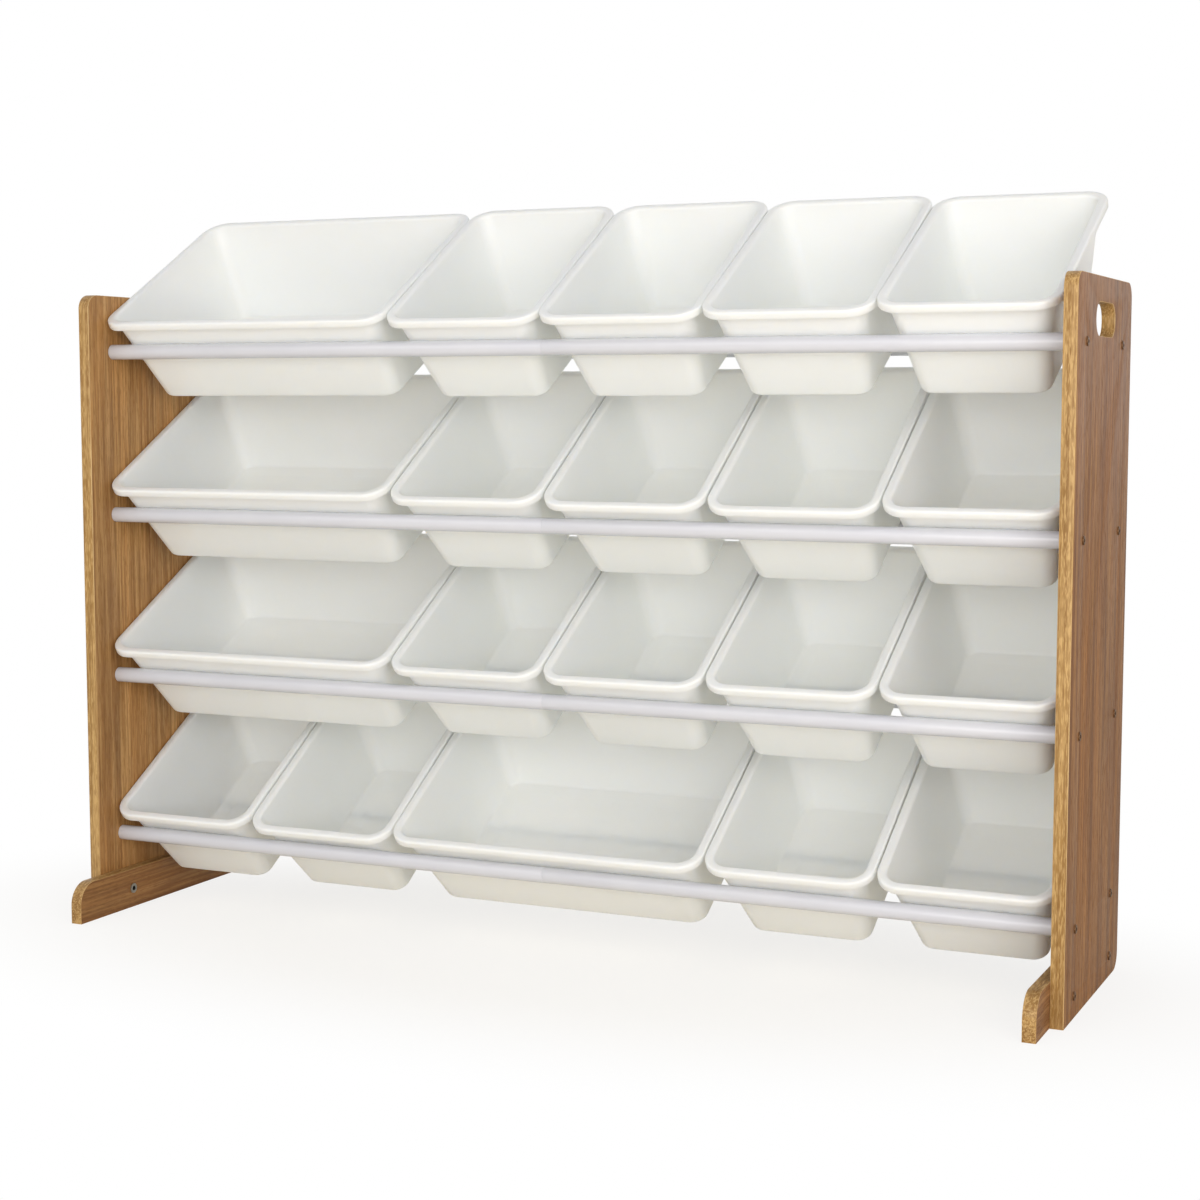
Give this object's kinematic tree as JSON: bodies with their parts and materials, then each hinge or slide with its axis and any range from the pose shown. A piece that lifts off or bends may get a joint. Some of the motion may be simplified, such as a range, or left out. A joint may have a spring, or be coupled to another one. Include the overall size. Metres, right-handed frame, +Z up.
{
  "type": "toy storage organizer with bins",
  "caption": "Free-standing toy storage rack: two wood-grain side panels on feet carry white cross rods, on which open plastic bins in two widths hang tilted towards the front.",
  "frame": {"origin": "on the floor, in the middle of the overall width and of the overall depth", "axes": "+Z up, the open front of the bins and the reaching ends of the feet towards -Y, right side towards +X"},
  "size_m": [1.2568, 0.3638, 0.8964],
  "materials": {
    "panel_board": "wood-grain laminate on particle board, satin",
    "foot_board": "wood-grain laminate on particle board, satin",
    "dowel_wood": "turned softwood, bare",
    "rod_enamel": "white powder coat on steel tube",
    "bolt_steel": "dark bronze plating",
    "sleeve_steel": "bright zinc",
    "plug_plastic": "moulded nylon",
    "bin_plastic": "moulded off-white polypropylene, satin"
  },
  "bodies": {
    "frame": {"left_side_panel": "panel_board", "right_side_panel": "panel_board", "left_foot": "foot_board", "right_foot": "foot_board", "front_rod_row1_left": "rod_enamel", "front_rod_row1_right": "rod_enamel", "front_rod_dowel_row1": "dowel_wood", "front_rod_row2_left": "rod_enamel", "front_rod_row2_right": "rod_enamel", "front_rod_dowel_row2": "dowel_wood", "front_rod_row3_left": "rod_enamel", "front_rod_row3_right": "rod_enamel", "front_rod_dowel_row3": "dowel_wood", "front_rod_row4_left": "rod_enamel", "front_rod_row4_right": "rod_enamel", "front_rod_dowel_row4": "dowel_wood", "rear_rod_row1_left": "rod_enamel", "rear_rod_row1_right": "rod_enamel", "rear_rod_dowel_row1": "dowel_wood", "rear_rod_row2_left": "rod_enamel", "rear_rod_row2_right": "rod_enamel", "rear_rod_dowel_row2": "dowel_wood", "rear_rod_row3_left": "rod_enamel", "rear_rod_row3_right": "rod_enamel", "rear_rod_dowel_row3": "dowel_wood", "rear_rod_row4_left": "rod_enamel", "rear_rod_row4_right": "rod_enamel", "rear_rod_dowel_row4": "dowel_wood", "rod_bolts_left": "bolt_steel", "rod_end_plugs_left": "plug_plastic", "foot_bolts_left": "bolt_steel", "foot_sleeves_left": "sleeve_steel", "rod_bolts_right": "bolt_steel", "rod_end_plugs_right": "plug_plastic", "foot_bolts_right": "bolt_steel", "foot_sleeves_right": "sleeve_steel"},
    "large_bin_row1_place1": {"large_bin_row1_place1": "bin_plastic"},
    "small_bin_row1_place2": {"small_bin_row1_place2": "bin_plastic"},
    "small_bin_row1_place3": {"small_bin_row1_place3": "bin_plastic"},
    "small_bin_row1_place4": {"small_bin_row1_place4": "bin_plastic"},
    "small_bin_row1_place5": {"small_bin_row1_place5": "bin_plastic"},
    "large_bin_row2_place1": {"large_bin_row2_place1": "bin_plastic"},
    "small_bin_row2_place2": {"small_bin_row2_place2": "bin_plastic"},
    "small_bin_row2_place3": {"small_bin_row2_place3": "bin_plastic"},
    "small_bin_row2_place4": {"small_bin_row2_place4": "bin_plastic"},
    "small_bin_row2_place5": {"small_bin_row2_place5": "bin_plastic"},
    "large_bin_row3_place1": {"large_bin_row3_place1": "bin_plastic"},
    "small_bin_row3_place2": {"small_bin_row3_place2": "bin_plastic"},
    "small_bin_row3_place3": {"small_bin_row3_place3": "bin_plastic"},
    "small_bin_row3_place4": {"small_bin_row3_place4": "bin_plastic"},
    "small_bin_row3_place5": {"small_bin_row3_place5": "bin_plastic"},
    "small_bin_row4_place1": {"small_bin_row4_place1": "bin_plastic"},
    "small_bin_row4_place2": {"small_bin_row4_place2": "bin_plastic"},
    "large_bin_row4_place3": {"large_bin_row4_place3": "bin_plastic"},
    "small_bin_row4_place4": {"small_bin_row4_place4": "bin_plastic"},
    "small_bin_row4_place5": {"small_bin_row4_place5": "bin_plastic"}
  },
  "joints": [
    {"name": "large_bin_row1_place1_lift", "type": "slide", "parent": "frame", "child": "large_bin_row1_place1", "axis": [0, 0, 1], "range_m": [0, 0.25]},
    {"name": "small_bin_row1_place2_lift", "type": "slide", "parent": "frame", "child": "small_bin_row1_place2", "axis": [0, 0, 1], "range_m": [0, 0.25]},
    {"name": "small_bin_row1_place3_lift", "type": "slide", "parent": "frame", "child": "small_bin_row1_place3", "axis": [0, 0, 1], "range_m": [0, 0.25]},
    {"name": "small_bin_row1_place4_lift", "type": "slide", "parent": "frame", "child": "small_bin_row1_place4", "axis": [0, 0, 1], "range_m": [0, 0.25]},
    {"name": "small_bin_row1_place5_lift", "type": "slide", "parent": "frame", "child": "small_bin_row1_place5", "axis": [0, 0, 1], "range_m": [0, 0.25]},
    {"name": "large_bin_row2_place1_tip", "type": "hinge", "parent": "frame", "child": "large_bin_row2_place1", "pos_m": [0, 0.11019, 0.51], "axis": [-1, 0, 0], "range_deg": [0, 32.9]},
    {"name": "small_bin_row2_place2_tip", "type": "hinge", "parent": "frame", "child": "small_bin_row2_place2", "pos_m": [0, 0.11019, 0.51], "axis": [-1, 0, 0], "range_deg": [0, 34.6]},
    {"name": "small_bin_row2_place3_tip", "type": "hinge", "parent": "frame", "child": "small_bin_row2_place3", "pos_m": [0, 0.11019, 0.51], "axis": [-1, 0, 0], "range_deg": [0, 35.4]},
    {"name": "small_bin_row2_place4_tip", "type": "hinge", "parent": "frame", "child": "small_bin_row2_place4", "pos_m": [0, 0.11019, 0.51], "axis": [-1, 0, 0], "range_deg": [0, 35.9]},
    {"name": "small_bin_row2_place5_tip", "type": "hinge", "parent": "frame", "child": "small_bin_row2_place5", "pos_m": [0, 0.11019, 0.51], "axis": [-1, 0, 0], "range_deg": [0, 34.6]},
    {"name": "large_bin_row3_place1_tip", "type": "hinge", "parent": "frame", "child": "large_bin_row3_place1", "pos_m": [0, 0.11019, 0.3036], "axis": [-1, 0, 0], "range_deg": [0, 32.2]},
    {"name": "small_bin_row3_place2_tip", "type": "hinge", "parent": "frame", "child": "small_bin_row3_place2", "pos_m": [0, 0.11019, 0.3036], "axis": [-1, 0, 0], "range_deg": [0, 33.4]},
    {"name": "small_bin_row3_place3_tip", "type": "hinge", "parent": "frame", "child": "small_bin_row3_place3", "pos_m": [0, 0.11019, 0.3036], "axis": [-1, 0, 0], "range_deg": [0, 33.4]},
    {"name": "small_bin_row3_place4_tip", "type": "hinge", "parent": "frame", "child": "small_bin_row3_place4", "pos_m": [0, 0.11019, 0.3036], "axis": [-1, 0, 0], "range_deg": [0, 33]},
    {"name": "small_bin_row3_place5_tip", "type": "hinge", "parent": "frame", "child": "small_bin_row3_place5", "pos_m": [0, 0.11019, 0.3036], "axis": [-1, 0, 0], "range_deg": [0, 32.5]},
    {"name": "small_bin_row4_place1_tip", "type": "hinge", "parent": "frame", "child": "small_bin_row4_place1", "pos_m": [0, 0.11019, 0.0972], "axis": [-1, 0, 0], "range_deg": [0, 34.2]},
    {"name": "small_bin_row4_place2_tip", "type": "hinge", "parent": "frame", "child": "small_bin_row4_place2", "pos_m": [0, 0.11019, 0.0972], "axis": [-1, 0, 0], "range_deg": [0, 34.9]},
    {"name": "large_bin_row4_place3_tip", "type": "hinge", "parent": "frame", "child": "large_bin_row4_place3", "pos_m": [0, 0.11019, 0.0972], "axis": [-1, 0, 0], "range_deg": [0, 33.9]},
    {"name": "small_bin_row4_place4_tip", "type": "hinge", "parent": "frame", "child": "small_bin_row4_place4", "pos_m": [0, 0.11019, 0.0972], "axis": [-1, 0, 0], "range_deg": [0, 33.4]},
    {"name": "small_bin_row4_place5_tip", "type": "hinge", "parent": "frame", "child": "small_bin_row4_place5", "pos_m": [0, 0.11019, 0.0972], "axis": [-1, 0, 0], "range_deg": [0, 33.1]}
  ]
}
